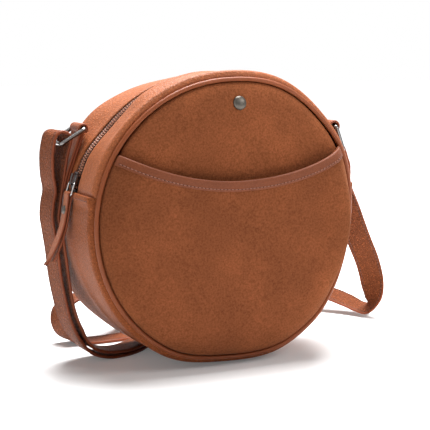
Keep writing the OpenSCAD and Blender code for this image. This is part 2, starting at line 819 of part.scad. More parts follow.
module left_chape() {
    low_a = 180 - seam_a - butt_a;
    step = (low_a - left_tangent_a) / chape_arc_steps;
    chape(concat([for (i = [0 : chape_arc_steps - 1]) let (a = low_a - i * step)
        chape_mid_r * [cos(a), sin(a)]],
        [for (s = chape_run_share) left_start + s * (left_bar - left_start)]), left_bar);
}

module right_chape() {
    chape([for (s = chape_run_share) right_start + s * (right_bar - right_start)], right_bar);
}

module ring(bar, a) {
    color("#b4b2b0") translate([bar[0], chape_y, centre_z + bar[1]])
        wire_frame(ring_pitch, ring_in, ring_wire_r, ring_corner, a);
}

module left_ring() {
    ring(left_bar, left_ring_a);
}

module right_ring() {
    ring(right_bar, right_ring_a);
}

// Strap

module strap_tail() {
    color("#a5694f") strap(0, tail_end);
}

module strap_tail_run() {
    color("#a5694f") strap(tail_end, hang_from);
}

module strap_left_hang() {
    color("#a5694f") strap(hang_from, hang_to);
}

module strap_front_run() {
    color("#a5694f") strap(hang_to, front_to);
}

module strap_rear_run() {
    color("#a5694f") strap(front_to, rear_to);
}

module strap_right_curl() {
    color("#a5694f") strap(rear_to, curl_to);
}

module strap_right_hang() {
    color("#a5694f") strap(curl_to, route_end);
}

module strap_end_loop() {
    bore = adjuster_bar_r + bore_fit;
    color("#a5694f") translate([adjuster_x, adjuster_y, centre_bar_z]) difference() {
        union() {
            bar_y([0, 0], end_loop_r, strap_w);
            translate([-end_loop_len, -strap_w / 2, -strap_t])
                cube([end_loop_len, strap_w, 2 * strap_t]);
        }
        bar_y([0, 0], bore, 2 * strap_w);
    }
}

module strap_adjuster() {
    half = adjuster_len / 2;
    side_y = strap_w / 2 + run_gap;
    bar_w = 2 * (side_y + adjuster_side);
    low = adjuster_bar_r + lay_gap;
    top = centre_bar_z + adjuster_bar_r;
    color("#b4b2b0") translate([adjuster_x, adjuster_y, 0]) {
        for (x = [-half, half]) bar_y([x, low], adjuster_bar_r, bar_w);
        bar_y([0, centre_bar_z], adjuster_bar_r, bar_w);
        for (side = [0, 1]) mirror([0, side, 0])
            translate([0, side_y + adjuster_side, 0]) rotate([90, 0, 0])
                linear_extrude(adjuster_side)
                    polygon([[-half - adjuster_bar_r, lay_gap], [half + adjuster_bar_r, lay_gap],
                        [half + adjuster_bar_r, 2 * low], [2 * adjuster_bar_r, top],
                        [-2 * adjuster_bar_r, top], [-half - adjuster_bar_r, 2 * low]]);
    }
}

// Stud on the front panel

module front_stud() {
    color("#b9b5ac") stud_place() {
        rotate_extrude($fn = 48)
            polygon(concat([[0, lay_gap], [stud_r, lay_gap]],
                [for (i = [0 : shoulder_steps]) let (a = 90 * i / shoulder_steps)
                    [stud_r * cos(a), 2 * lay_gap + stud_cap_h * sin(a)]]));
        translate([0, 0, -panel_t - washer_t - lay_gap])
            cylinder(r = stud_shank_r, h = panel_t + washer_t + 3 * lay_gap);
    }
}

module stud_washer() {
    color("#8a8680") stud_place() translate([0, 0, -panel_t - 2 * lay_gap - washer_t])
        difference() {
            cylinder(r = washer_r, h = washer_t);
            translate([0, 0, -over]) cylinder(r = stud_shank_r + lay_gap / 2, h = washer_t + 2 * over);
        }
}

front_panel();
front_foam();
front_lining();
front_pocket_panel();
pocket_binding();
front_piping_cover();
front_piping_cord();
back_panel();
back_foam();
back_lining();
back_piping_cover();
back_piping_cord();
bottom_gusset();
gusset_foam();
gusset_lining();
zip_gusset_front();
zip_gusset_rear();
zip_tape_front();
zip_tape_rear();
zip_coil_front();
zip_coil_rear();
zip_end_stops();
zip_slider();
zip_puller();
leather_pull();
pull_rivet();
left_chape();
right_chape();
left_ring();
right_ring();
strap_end_loop();
strap_tail();
strap_tail_run();
strap_left_hang();
strap_front_run();
strap_rear_run();
strap_right_curl();
strap_right_hang();
strap_adjuster();
front_stud();
stud_washer();
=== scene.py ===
# %% [markdown]
# # A round crossbody bag
# The bag is a short drum: two round faces, a leather gusset that joins them, a
# zip over the top and a long strap. The frame is the same bag as exact solids.
# It says where each piece is, and this script builds what the eye sees: napped
# suede, grained leather, thread, coil and metal. All sizes here are millimetres.

# %% Load the frame
import math
import bpy
import numpy as np
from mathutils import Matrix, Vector, noise


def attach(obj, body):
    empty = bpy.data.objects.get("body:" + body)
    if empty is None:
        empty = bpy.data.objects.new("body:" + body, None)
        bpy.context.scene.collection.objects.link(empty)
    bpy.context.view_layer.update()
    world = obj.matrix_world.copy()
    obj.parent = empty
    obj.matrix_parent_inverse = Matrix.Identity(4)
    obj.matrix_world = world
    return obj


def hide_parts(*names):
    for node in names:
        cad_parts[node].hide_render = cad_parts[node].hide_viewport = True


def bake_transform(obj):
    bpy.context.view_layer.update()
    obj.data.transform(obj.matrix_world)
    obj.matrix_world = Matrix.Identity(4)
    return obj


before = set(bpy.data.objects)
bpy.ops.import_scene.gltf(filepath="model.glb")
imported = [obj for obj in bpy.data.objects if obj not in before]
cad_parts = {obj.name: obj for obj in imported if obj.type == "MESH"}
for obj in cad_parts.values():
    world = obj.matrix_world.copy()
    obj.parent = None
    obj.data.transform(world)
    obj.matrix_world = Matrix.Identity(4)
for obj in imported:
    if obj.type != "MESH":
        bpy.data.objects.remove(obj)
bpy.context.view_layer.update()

# %% [markdown]
# ## Camera
# A long lens flattens perspective, as product photographs do. The camera looks
# at the middle of the front face from the left and from slightly above. A small
# lens shift frames the bag off centre without turning the camera.

# %% Camera
def add_object(name, data):
    thing = bpy.data.objects.new(name, data)
    bpy.context.scene.collection.objects.link(thing)
    return thing


azimuth, elevation, distance = math.radians(-26.1), math.radians(8.0), 0.8889
face_middle = Vector((0, -0.039, 0.105))
towards_camera = Vector((math.sin(azimuth) * math.cos(elevation),
                         -math.cos(azimuth) * math.cos(elevation), math.sin(elevation)))
camera = add_object("camera", bpy.data.cameras.new("camera"))
bpy.context.scene.camera = camera
camera.location = face_middle + towards_camera * distance
camera.rotation_euler = towards_camera.to_track_quat("Z", "Y").to_euler()
camera.data.lens = 104.65
camera.data.shift_x, camera.data.shift_y = -16.4 / 430, 6.2 / 430
print("camera at", [round(v, 3) for v in camera.location])

# %% [markdown]
# ## Sizes
# The bag's main sizes are those of the solids. Angles run round the bag from
# +X towards +Z, so 90 is the top and 180 the left side.

# %% Sizes
bag_r, centre_z, front_y, back_y = 106.8, 105.0, -39.0, 39.0
panel_r, suede_top_r, back_rim_r, panel_t = 99.9, 98.2, 100.5, 1.6
piping_ring_r, piping_r, core_r, piping_out = 101.8, 1.65, 1.1, 0.9
front_crown, pocket_crown, back_crown = 9.0, 17.0, 7.0
slot_half, gusset_half, strap_plane = 6.75, 38.3, 21.0
# Angles of the seams between the bottom gusset and the zip strips.
right_seam, left_seam = 12.0, 168.0

# %% [markdown]
# ## How the soft body slumps
# A stuffed leather drum is never a true cylinder. The right rim of the front
# face leans back while the suede beside it swells. The rear rim and the zip sink
# at the top, and the front rim flattens where it nearly meets the floor. Every
# layer goes through this one function, so the layers never cross.

# %% Slump
def ramp(v, start, end):
    t = np.clip((v - start) / (end - start), 0, 1)
    return t * t * (3 - 2 * t)


def bell(angle, middle, reach):
    """1 at an angle round the bag, falling to 0 at reach degrees from it."""
    d = np.abs((angle - middle + 180) % 360 - 180)
    return np.where(d < reach, 0.5 + 0.5 * np.cos(np.pi * d / reach), 0)


def slump(points):
    x, y, z = points[..., 0], points[..., 1], points[..., 2] - centre_z
    r, angle = np.hypot(x, z), np.degrees(np.arctan2(z, x))
    # The right rim of the front leans back, with a swell inside it.
    right = bell(angle, 352, 40) ** 0.7 * ramp(y, -6, -36)
    lean, bulge = right * ramp(r, 88, 100), right * ramp(r, 62, 88) * ramp(r, 99.9, 90)
    # The front rim is fuller at its upper right, flatter at the floor and sunk along the top.
    front = ramp(y, -14, -38) * (1.8 * bell(angle, 68, 26) - 3.6 * bell(angle, 268, 28))
    front = front - 1.5 * bell(angle, 96, 70) * ramp(y, -36.5, -38.5)
    # The rear rim sinks at the top and swells low on the left, and the zip sags between the rims.
    rear = 1.6 * bell(angle, 141, 20) - 5.2 * bell(angle, 98, 40) + 2.6 * bell(angle, 208, 24)
    rear = ramp(y, 8, 36) * rear
    top = 3.0 * ramp(angle, 156, 138) * ramp(angle, 62, 92) * ramp(y, -37, -24) * ramp(y, 38, 10)
    new_r = r - 2.0 * lean + (front + rear - top) * (r / 100) ** 2
    scale = np.where(r > 0, new_r / np.maximum(r, 1e-9), 1)
    return np.stack([x * scale, y + 5.0 * lean - 3.8 * bulge, centre_z + z * scale], -1)


# %% [markdown]
# ## From a grid of points to a piece
# Almost every piece is a sheet of leather, cloth or suede: an outer grid of
# points, an inner grid behind it and walls where the sheet ends. Building from
# grids keeps the faces even, which lets light roll over them smoothly.

# %% Mesh helpers
def add_piece(name, shape, material, body="bag", stands_for=(), slot=None):
    """A piece from points and faces. The slot argument is not used."""
    points, faces = shape
    mesh = bpy.data.meshes.new(name)
    mesh.from_pydata((np.asarray(points, float) / 1000).tolist(), [], faces)
    mesh.validate()
    mesh.shade_smooth()
    mesh.set_sharp_from_angle(angle=math.radians(56))
    mesh.materials.append(material)
    piece = add_object(name, mesh)
    if body:
        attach(piece, body)
    if stands_for:
        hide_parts(*stands_for)
    print(name, len(mesh.polygons), "faces")
    return piece


def grid_faces(rows, columns, start, ring, flip=False):
    faces = []
    for i in range(rows - 1):
        for j in range(columns if ring else columns - 1):
            k = (j + 1) % columns
            quad = (i * columns + j, i * columns + k, (i + 1) * columns + k, (i + 1) * columns + j)
            faces.append(tuple(start + n for n in (reversed(quad) if flip else quad)))
    return faces


def sheet_mesh(outer, inner, ring=False):
    """Points and faces of a closed sheet; ring=True joins the last column to the first."""
    rows, columns, count = outer.shape[0], outer.shape[1], outer.shape[0] * outer.shape[1]
    faces = grid_faces(rows, columns, 0, ring) + grid_faces(rows, columns, count, ring, True)
    def wall(a, b, flip):
        quad = (a, b, b + count, a + count)
        faces.append(tuple(reversed(quad)) if flip else quad)
    for j in range(columns if ring else columns - 1):
        k = (j + 1) % columns
        wall(j, k, True)
        wall((rows - 1) * columns + j, (rows - 1) * columns + k, False)
    if not ring:
        for i in range(rows - 1):
            wall(i * columns, (i + 1) * columns, False)
            wall((i + 1) * columns - 1, (i + 2) * columns - 1, True)
    return np.concatenate([outer.reshape(-1, 3), inner.reshape(-1, 3)]), faces


def tube_mesh(sections, closed=False, flip=False):
    """Points and faces of a solid swept through a row of closed sections."""
    rows, columns = sections.shape[:2]
    faces = grid_faces(rows + 1 if closed else rows, columns, 0, True)
    if closed:
        return sections.reshape(-1, 3), [tuple(n % (rows * columns) for n in face) for face in faces]
    faces.append(tuple(reversed(range(columns))))
    faces.append(tuple((rows - 1) * columns + j for j in range(columns)))
    return sections.reshape(-1, 3), [tuple(reversed(face)) for face in faces] if flip else faces


def polar(r, angle, y):
    """Points at a radius and an angle in degrees round the bag, and a depth along Y."""
    r, angle, y = np.broadcast_arrays(r, np.radians(angle), y)
    return np.stack([r * np.cos(angle), y, centre_z + r * np.sin(angle)], -1)


def unit(rows):
    """Rows of vectors, each brought to a length of 1."""
    return rows / np.linalg.norm(rows, axis=1, keepdims=True)


# %% [markdown]
# ## Finishes
# Each material mixes noise at several sizes, because real hides vary at every
# scale: cloudy patches a few centimetres wide, grain of a millimetre, and fibres
# finer than that. The node helpers keep each material to a few readable lines.

# %% Material helpers
def fill(tree, node, inputs):
    """Set a node's inputs, and link those whose value is another node's output."""
    for key, value in inputs.items():
        if isinstance(value, bpy.types.NodeSocket):
            tree.links.new(value, node.inputs[key])
        else:
            node.inputs[key].default_value = value
    return node


def add_node(tree, kind, inputs, **settings):
    node = tree.nodes.new("ShaderNode" + kind)
    for key, value in settings.items():
        setattr(node, key, value)
    return fill(tree, node, inputs)


def start_material(name, roughness, metallic=0.0):
    material = bpy.data.materials.new(name)
    material.use_nodes = True
    tree = material.node_tree
    shader = fill(tree, tree.nodes["Principled BSDF"], {"Roughness": roughness, "Metallic": metallic})
    return material, tree, shader


def texture(tree, kind, scale, detail=3.0, **settings):
    place = add_node(tree, "TexCoord", {}).outputs["Object"]
    node = add_node(tree, "Tex" + kind, {"Vector": place, "Scale": scale, "Detail": detail}, **settings)
    return node.outputs["Fac"] if "Fac" in node.outputs else node.outputs["Distance"]


def colour_ramp(tree, value, stops):
    node = add_node(tree, "ValToRGB", {"Fac": value})
    while len(node.color_ramp.elements) < len(stops):
        node.color_ramp.elements.new(0.5)
    for element, (at, colour) in zip(node.color_ramp.elements, stops):
        element.position, element.color = at, (*colour, 1)
    return node.outputs["Color"]


def multiply(tree, amount, a, b):
    inputs = {"Factor": amount, "A": a, "B": b}
    return add_node(tree, "Mix", inputs, data_type="RGBA", blend_type="MULTIPLY").outputs["Result"]


def maths(tree, operation, a, b, clamp=False):
    return add_node(tree, "Math", {0: a, 1: b}, operation=operation, use_clamp=clamp).outputs[0]


def add_bump(tree, shader, layers):
    """Layers of (height, strength, depth in metres), the first one lowest."""
    inputs = {}
    for height, strength, depth in layers:
        inputs |= {"Height": height, "Strength": strength, "Distance": depth}
        inputs["Normal"] = add_node(tree, "Bump", inputs).outputs["Normal"]
    fill(tree, shader, {"Normal": inputs["Normal"]})


def shade(colour, factor):
    return tuple(min(1.0, c * factor) for c in colour)


def speckled(name, roughness, scale, detail, stops, bump, metallic=0.0):
    """A material whose colour and bump follow one noise, which is returned with it."""
    material, tree, shader = start_material(name, roughness, metallic)
    specks = texture(tree, "Noise", scale, detail)
    fill(tree, shader, {"Base Color": colour_ramp(tree, specks, stops)})
    add_bump(tree, shader, [(specks, *bump)])
    return material, tree, shader, specks


# %% [markdown]
# ### Suede
# Suede is the flesh side of a hide, brushed up. Its nap lies in patches that
# catch light differently, so the colour clouds over, and its surface has no
# gloss but a faint sheen at grazing angles.

# %% Suede
def suede(name, colour):
    material, tree, shader = start_material(name, 0.97)
    clouds = texture(tree, "Noise", 26, 4)
    base = colour_ramp(tree, clouds, [(0.28, shade(colour, 0.86)), (0.5, colour), (0.72, shade(colour, 1.24))])
    tufts = texture(tree, "Noise", 760, 6)
    tuft_colour = colour_ramp(
        tree, tufts, [(0.34, (0.58, 0.55, 0.52)), (0.5, (0.82, 0.81, 0.8)), (0.66, (1, 1, 1))])
    fibres = texture(tree, "Noise", 2400)
    fibre_colour = colour_ramp(tree, fibres, [(0.3, (0.6, 0.58, 0.56)), (0.62, (1, 1, 1))])
    napped = multiply(tree, 0.75, multiply(tree, 0.85, base, tuft_colour), fibre_colour)
    fill(tree, shader, {"Base Color": napped, "Specular IOR Level": 0.08, "Sheen Weight": 0.12,
                        "Sheen Roughness": 0.5, "Sheen Tint": (0.9, 0.45, 0.22, 1)})
    add_bump(tree, shader, [(clouds, 0.25, 0.002), (tufts, 0.7, 0.0006), (fibres, 0.5, 0.0003)])
    return material


suede_front = suede("suede_front", (0.32, 0.098, 0.037))
# The pocket's suede is the upper face's suede painted darker: painted shade on the lower part of the face.
suede_pocket = suede("suede_pocket", (0.275, 0.084, 0.032))

# %% [markdown]
# ### Grained leather
# The grain is a net of fine creases round small pebbles. A cell texture gives
# the pebbles, a little noise breaks their order, and the bump does the rest.
# The strap's grain is finer and more open than the body's.

# %% Grained leather
def leather(name, colour, pebble=640, depth=0.0006, roughness=0.5, contrast=0.5, gloss=0.2):
    material, tree, shader = start_material(name, roughness)
    cells = texture(tree, "Voronoi", pebble, feature="SMOOTH_F1")
    pores = texture(tree, "Noise", pebble * 1.9, 4)
    clouds = texture(tree, "Noise", 34, 4)
    base = colour_ramp(tree, clouds, [(0.3, shade(colour, 0.88)), (0.55, colour), (0.75, shade(colour, 1.12))])
    creases = colour_ramp(tree, cells, [(0.3, (1, 1, 1)), (0.75, (contrast,) * 3)])
    specks = colour_ramp(tree, pores, [(0.32, (contrast,) * 3), (0.55, (1, 1, 1))])
    grained = multiply(tree, 0.75, multiply(tree, 0.85, base, creases), specks)
    fill(tree, shader, {"Base Color": grained, "Specular IOR Level": gloss})
    swells = texture(tree, "Noise", 120)
    pebbles = maths(tree, "SUBTRACT", 1.0, cells)
    add_bump(tree, shader, [(swells, 0.12, 0.0006), (pebbles, 0.9, depth), (pores, 0.5, depth * 0.6)])
    return material


gusset_leather = leather("gusset_leather", (0.48, 0.134, 0.045), roughness=0.46, gloss=0.06)
# The zip strips are the gusset's leather painted lighter: painted light from the overhead lamp on the top of
# the bag.
zip_strip_leather = leather("zip_strip_leather", (0.6, 0.175, 0.059), depth=0.00035, roughness=0.48)
piping_leather = leather("piping_leather", (0.285, 0.073, 0.023), 1000, 0.00012, 0.4, 0.85)
binding_leather = leather("binding_leather", (0.235, 0.063, 0.023), 800, 0.0002, 0.5, 0.75)
back_leather = leather("back_leather", (0.48, 0.134, 0.045), roughness=0.48)
strap_leather = leather("strap_leather", (0.52, 0.145, 0.053), 720, 0.0009, 0.5, 0.3, 0.06)
chape_leather = leather("chape_leather", (0.45, 0.128, 0.048), 720, 0.0005, 0.5, 0.55)
pull_leather = leather("pull_leather", (0.58, 0.18, 0.076), 720, 0.0004, 0.5, 0.6)
painted_edge = leather("painted_edge", (0.3, 0.075, 0.03), 1200, 0.0001, 0.38, 0.85)

# %% [markdown]
# ### Cloth, thread and coil
# Woven cloth is two crossed waves, thread is a wave along its twist, and the
# coil is smooth nylon. These lie in seams and slots, where a plain colour would
# look like paint.

# %% Cloth, thread and coil
def woven(name, colour, pitch=1500, roughness=0.9):
    material, tree, shader = start_material(name, roughness)
    warp = texture(tree, "Wave", pitch, 1, bands_direction="X")
    weft = texture(tree, "Wave", pitch, 1, bands_direction="Y")
    warp_colour = colour_ramp(tree, warp, [(0.2, shade(colour, 0.7)), (0.8, shade(colour, 1.15))])
    weft_colour = colour_ramp(tree, weft, [(0.2, (0.75, 0.75, 0.75)), (0.8, (1, 1, 1))])
    fill(tree, shader, {"Base Color": multiply(tree, 1.0, warp_colour, weft_colour)})
    add_bump(tree, shader, [(warp, 0.4, 0.0002), (weft, 0.4, 0.0002)])
    return material


lining_cloth = woven("lining_cloth", (0.12, 0.08, 0.06), 900)
# The zip tape is painted near black: painted shade in the zip's slot. The tape itself is brown like the coil.
zip_tape_painted_shade_cloth = woven("zip_tape_painted_shade_cloth", (0.012, 0.006, 0.005))
cord_cotton = woven("cord_cotton", (0.8, 0.76, 0.68), 700)
dark_thread = woven("dark_thread", (0.22, 0.075, 0.045), 2500, 0.7)
pale_thread = woven("pale_thread", (0.33, 0.13, 0.08), 2500, 0.7)
needle_hole_painted_shade = woven("needle_hole_painted_shade", (0.07, 0.022, 0.014), 2500)
foam = speckled("foam_padding", 0.95, 700, 4, [(0.35, (0.5, 0.46, 0.38)), (0.6, (0.78, 0.73, 0.62))],
                (0.6, 0.0005))[0]
coil_nylon = speckled("zip_coil", 0.38, 300, 3, [(0.3, (0.27, 0.11, 0.065)), (0.7, (0.45, 0.2, 0.125))],
                      (0.15, 0.0001))[0]

# %% [markdown]
# ### Metal
# Plated trim is a metal with fine rubbing marks. The marks go into roughness
# and bump, so that a highlight breaks up a little as it does on a used buckle.

# %% Metal
def metal(name, colour, roughness):
    stops = [(0.3, shade(colour, 0.75)), (0.6, colour)]
    material, tree, shader, wear = speckled(name, roughness, 420, 5, stops, (0.12, 0.0001), 1.0)
    rubbed = add_node(tree, "MapRange", {"Value": wear, "To Min": roughness * 0.7, "To Max": roughness * 1.4})
    fill(tree, shader, {"Roughness": rubbed.outputs["Result"]})
    return material


black_nickel = metal("black_nickel", (0.16, 0.15, 0.15), 0.22)
bright_nickel = metal("bright_nickel", (0.42, 0.4, 0.39), 0.2)
ring_nickel = metal("ring_nickel", (0.2, 0.19, 0.185), 0.2)
antique_nickel = metal("antique_nickel", (0.1, 0.088, 0.075), 0.36)
for finish, metal_nodes in ((black_nickel, ("zip_slider", "zip_end_stops")), (bright_nickel, ("zip_puller",)),
                            (ring_nickel, ("left_ring", "right_ring", "strap_adjuster")),
                            (antique_nickel, ("pull_rivet", "front_stud", "stud_washer"))):
    for node in metal_nodes:
        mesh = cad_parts[node].data
        mesh.materials.clear()
        mesh.materials.append(finish)
        mesh.shade_smooth()
        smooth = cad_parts[node].modifiers.new("smooth", "EDGE_SPLIT")
        smooth.split_angle = math.radians(38)

# %% [markdown]
# ## Round faces
# Each face is a pillow: flat in the middle and turned down steeply at its rim.
# A polar grid follows that form well if its rings crowd towards the rim, which
# the sine spacing gives. Side is -1 for the front and 1 for the back.

# %% Pillow faces
def pillow(r, rim_r, crown, power=6):
    return crown * np.sqrt(np.clip(1 - (r / rim_r) ** power, 0, 1))


def round_face(name, rim_r, crown, thickness, side, material, stands_for,
               rings=44, spokes=240, relief=None):
    share = np.sin(np.linspace(0.004, 1, rings) * np.pi / 2)[:, None]
    angle = np.linspace(0, 360, spokes, endpoint=False) + 0 * share
    r = share * (rim_r(angle) if callable(rim_r) else rim_r + 0 * angle)
    height = pillow(share, 1.0, crown) + (relief(r, angle) if relief else 0)
    inner_r = r * (1 - thickness / np.max(r))
    inner_height = pillow(r / np.max(r, 0, keepdims=True), 1.0, crown - thickness)
    edge = front_y if side < 0 else back_y
    outer = slump(polar(r, angle, edge + side * height))
    inner = slump(polar(inner_r, angle, edge + side * inner_height))
    if side > 0:
        outer, inner = outer[:, ::-1], inner[:, ::-1]
    return add_piece(name, sheet_mesh(outer, inner, ring=True), material, stands_for=stands_for)


# %% [markdown]
# The upper suede reaches the piping where the pocket is absent and tucks under
# the pocket panel below its mouth, so its rim radius changes with the angle. A
# few soft dents keep its light from looking turned on a lathe. The back's rim is
# tucked into the piping seam, so that no light shows through the bag.

# %% Front suede, back leather and the layers behind them
def dents(r, angle):
    x, z = r * np.cos(np.radians(angle)), r * np.sin(np.radians(angle))
    soft = np.array([noise.noise(Vector((a / 38, b / 38, 3.1))) for a, b in zip(x.ravel(), z.ravel())])
    return 1.1 * soft.reshape(x.shape) * ramp(r, 97, 80)


mouth_low, mouth_r = 30.6, 192.0
round_face("front_suede", lambda a: suede_top_r + (panel_r - suede_top_r) * bell(a, 90, 62) ** 0.25,
           front_crown, panel_t, -1, suede_front, ["front_panel"], relief=dents)
round_face("back_face", back_rim_r, back_crown, panel_t, 1,
           back_leather, ["back_panel"], relief=dents)
# Name, rim radius, crown, thickness, side, material and node of each hidden layer.
for name, rim_r, crown, thickness, side, material, node in (
        ("front_foam_pad", 96.5, 7.3, 2.0, -1, foam, "front_foam"),
        ("front_lining_cloth", 94.4, 5.2, 0.6, -1, lining_cloth, "front_lining"),
        ("back_foam_pad", 98.2, 5.3, 2.0, 1, foam, "back_foam"),
        ("back_lining_cloth", 96.1, 3.2, 0.6, 1, lining_cloth, "back_lining")):
    piece = round_face(name, rim_r, crown, thickness, side, material, [node], 16, 96)

# %% [markdown]
# ## Slip pocket
# The pocket is a second suede panel over the lower part of the face, with a
# scooped mouth. Rays from one point below the mouth end either on the rim or on
# the scoop, which gives a clean grid with a sharp mouth and no cutting.

# %% Pocket panel
ray_start = np.array([0.0, -12.0])
scoop_centre = np.array([0.0, mouth_low + mouth_r])


def rim_distance(direction, radius):
    b = direction @ ray_start
    return -b + np.sqrt(b * b - ray_start @ ray_start + radius ** 2)


def scoop_distance(direction, radius):
    offset = ray_start - scoop_centre
    b, c = direction @ offset, offset @ offset - radius ** 2
    root = b * b - c
    return np.where(root > 0, -b - np.sqrt(np.maximum(root, 0)), np.inf)


def disc_crossing(radius, disc_r):
    """Where the scoop of a radius meets the disc of disc_r: half width and height."""
    h = scoop_centre[1]
    z = (disc_r ** 2 - radius ** 2 + h * h) / (2 * h)
    return math.sqrt(disc_r ** 2 - z * z), z


def pocket_grid(thickness):
    edge_r = mouth_r + 0.9
    corner_x, corner_z = disc_crossing(edge_r, panel_r - 0.3)
    corner = math.atan2(corner_z - ray_start[1], corner_x)
    below = np.linspace(math.pi - corner, 2 * math.pi + corner, 200)
    above = np.linspace(corner, math.pi - corner, 90)[1:-1]
    angles = np.concatenate([below, above])
    directions = np.stack([np.cos(angles), np.sin(angles)], -1)
    reach = np.minimum(rim_distance(directions, panel_r), np.where(
        (angles > corner) & (angles < math.pi - corner), scoop_distance(directions, edge_r), np.inf))
    share = np.sin(np.linspace(0.004, 1, 48) * np.pi / 2)[:, None, None]
    flat = ray_start + share * reach[None, :, None] * directions[None]
    r = np.minimum(np.hypot(flat[..., 0], flat[..., 1]), panel_r)
    inner_flat = flat * (1 - thickness / panel_r * (r / panel_r) ** 8)[..., None]
    soft = np.array([noise.noise(Vector((p[0] / 45, p[1] / 45, 9.7))) for p in flat.reshape(-1, 2)])
    soft = 1.3 * soft.reshape(r.shape) * ramp(r, 97, 80)
    outer_y = front_y - pillow(r, panel_r, pocket_crown) - soft
    inner_y = front_y - pillow(r, panel_r, pocket_crown - thickness) - soft
    outer = np.stack([flat[..., 0], outer_y, centre_z + flat[..., 1]], -1)
    inner = np.stack([inner_flat[..., 0], inner_y, centre_z + inner_flat[..., 1]], -1)
    return slump(outer), slump(inner)


add_piece("pocket_suede", sheet_mesh(*pocket_grid(panel_t), ring=True), suede_pocket,
          stands_for=["front_pocket_panel"])

# %% [markdown]
# ## Stitches
# Thread shows as a row of short, slightly sunk capsules with a small dark square
# between each two: painted shade for the needle hole. One helper lays them along
# any line, so every seam matches.

# %% Stitch helper
# Places along a stitch: share of its length, share of its radius and how far it dips.
swelling = ((0, 0.35, 0.3), (0.15, 0.9, 0.05), (0.5, 1, 0), (0.85, 0.9, 0.05), (1, 0.35, 0.3))


def capsules(line, up, length=2.3, gap=0.8, radius=0.4, sink=0.14):
    line, up = np.asarray(line, float), np.asarray(up, float)
    steps = np.linalg.norm(np.diff(line, axis=0), axis=1)
    along = np.concatenate([[0], np.cumsum(steps)])
    starts = np.arange(gap, along[-1] - length, length + gap)
    points, faces = [], []
    ring = np.radians(np.arange(0, 360, 60))
    for start in starts:
        at = lambda s, values: np.array([np.interp(s, along, values[:, i]) for i in range(3)])
        a, b = at(start, line), at(start + length, line)
        normal = at(start + length / 2, up)
        normal /= np.linalg.norm(normal)
        run = (b - a) / np.linalg.norm(b - a)
        side = np.cross(run, normal)
        base = len(points)
        for share, size, drop in swelling:
            middle = a + share * (b - a) + normal * (radius * (0.5 - drop) - sink)
            points += [middle + radius * size * (math.cos(t) * side + 0.8 * math.sin(t) * normal) for t in ring]
        faces += grid_faces(len(swelling), 6, base, True)
        faces += [tuple(base + j for j in reversed(range(6))), tuple(base + 24 + j for j in range(6))]
        # A small flat square between two stitches is painted shade for the needle hole.
        hole = a - run * gap / 2 + normal * 0.03
        points += [hole + radius * (u * run + v * side) for u, v in ((-1, -1), (1, -1), (1, 1), (-1, 1))]
        faces.append(tuple(base + 30 + j for j in range(4)))
    return points, faces


def stitch_rows(name, rows, slot, body="bag", thread=dark_thread, **sizes):
    points, faces = [], []
    for line, up in rows:
        new_points, new_faces = capsules(line, up, **sizes)
        faces += [tuple(n + len(points) for n in face) for face in new_faces]
        points += new_points
    piece = add_piece(name, (points, faces), thread, body, slot=slot)
    # The squares take the near-black finish that is painted as the holes' shade.
    piece.data.materials.append(needle_hole_painted_shade)
    for polygon in list(piece.data.polygons)[26::27]:
        polygon.material_index = 1
    return piece


# %% [markdown]
# ## Binding
# A strip of leather is folded over the pocket's edge and sewn through. It is
# one closed section, swept along the scoop and laid on the pillow's slope.

# %% Binding along the mouth
def on_pocket(depth, share, lift):
    """A place on the pocket: depth below the mouth's edge, share along it and lift off the suede."""
    radius = mouth_r + depth
    end_x, end_z = disc_crossing(radius, 99.2)
    half = math.atan2(end_x, scoop_centre[1] - end_z)
    angle = half * share
    flat = np.array([radius * math.sin(angle), scoop_centre[1] - radius * math.cos(angle)])
    r = math.hypot(*flat)
    step = 0.05
    low, height, high = (float(pillow(np.array(r + d), panel_r, pocket_crown)) for d in (-step, 0, step))
    slope = (high - low) / (2 * step)
    normal = np.array([-slope * flat[0] / r, -1.0, -slope * flat[1] / r])
    normal /= np.linalg.norm(normal)
    return np.array([flat[0], front_y - height, centre_z + flat[1]]) + lift * normal, normal


# Corners of the folded strip: depth below the mouth's edge and lift off the suede.
binding_section = [(7.5, 0.15), (7.5, 0.65), (7.2, 0.9), (6.4, 0.95), (5, 0.98), (3, 1), (1.2, 0.98),
                   (0.45, 0.75), (0.08, 0.2), (0, -0.8), (0.1, -1.8), (0.5, -2.3), (1.2, -2.5), (4, -2.5),
                   (7, -2.5), (7.5, -2.3), (7.5, -1.75), (4, -1.7), (1, -1.7), (0.85, -0.8), (1, 0.12),
                   (4, 0.12)]
sections = np.array([[on_pocket(depth, share, lift)[0] for depth, lift in binding_section]
                     for share in np.linspace(-1, 1, 150)])
add_piece("mouth_binding", tube_mesh(slump(sections)), binding_leather, stands_for=["pocket_binding"])
row = [on_pocket(5.9, share, 0.97) for share in np.linspace(-0.985, 0.985, 200)]
places, normals = map(np.array, zip(*row))
stitch_rows("binding_stitches", [(slump(places), normals)], "binding_leather",
            thread=pale_thread, length=1.9, gap=0.9, radius=0.32)

# %% [markdown]
# ## Piping
# Piping is a cord wrapped in leather and sewn between face and gusset. It keeps
# the drum's edge crisp. A shallow ripple in its radius is the pull of the seam.

# %% Piping on both rims
def ring_tube(radius, tube_r, y, spokes, sides, ripple):
    angles = np.linspace(0, 360, spokes, endpoint=False)[:, None]
    turn = np.radians(np.linspace(0, 360, sides, endpoint=False))[None, :]
    swell = tube_r + ripple * np.sin(np.radians(angles) * 47) * np.sin(np.radians(angles) * 13)
    return slump(polar(radius + swell * np.cos(turn), angles + 0 * turn, y - swell * np.sin(turn)))


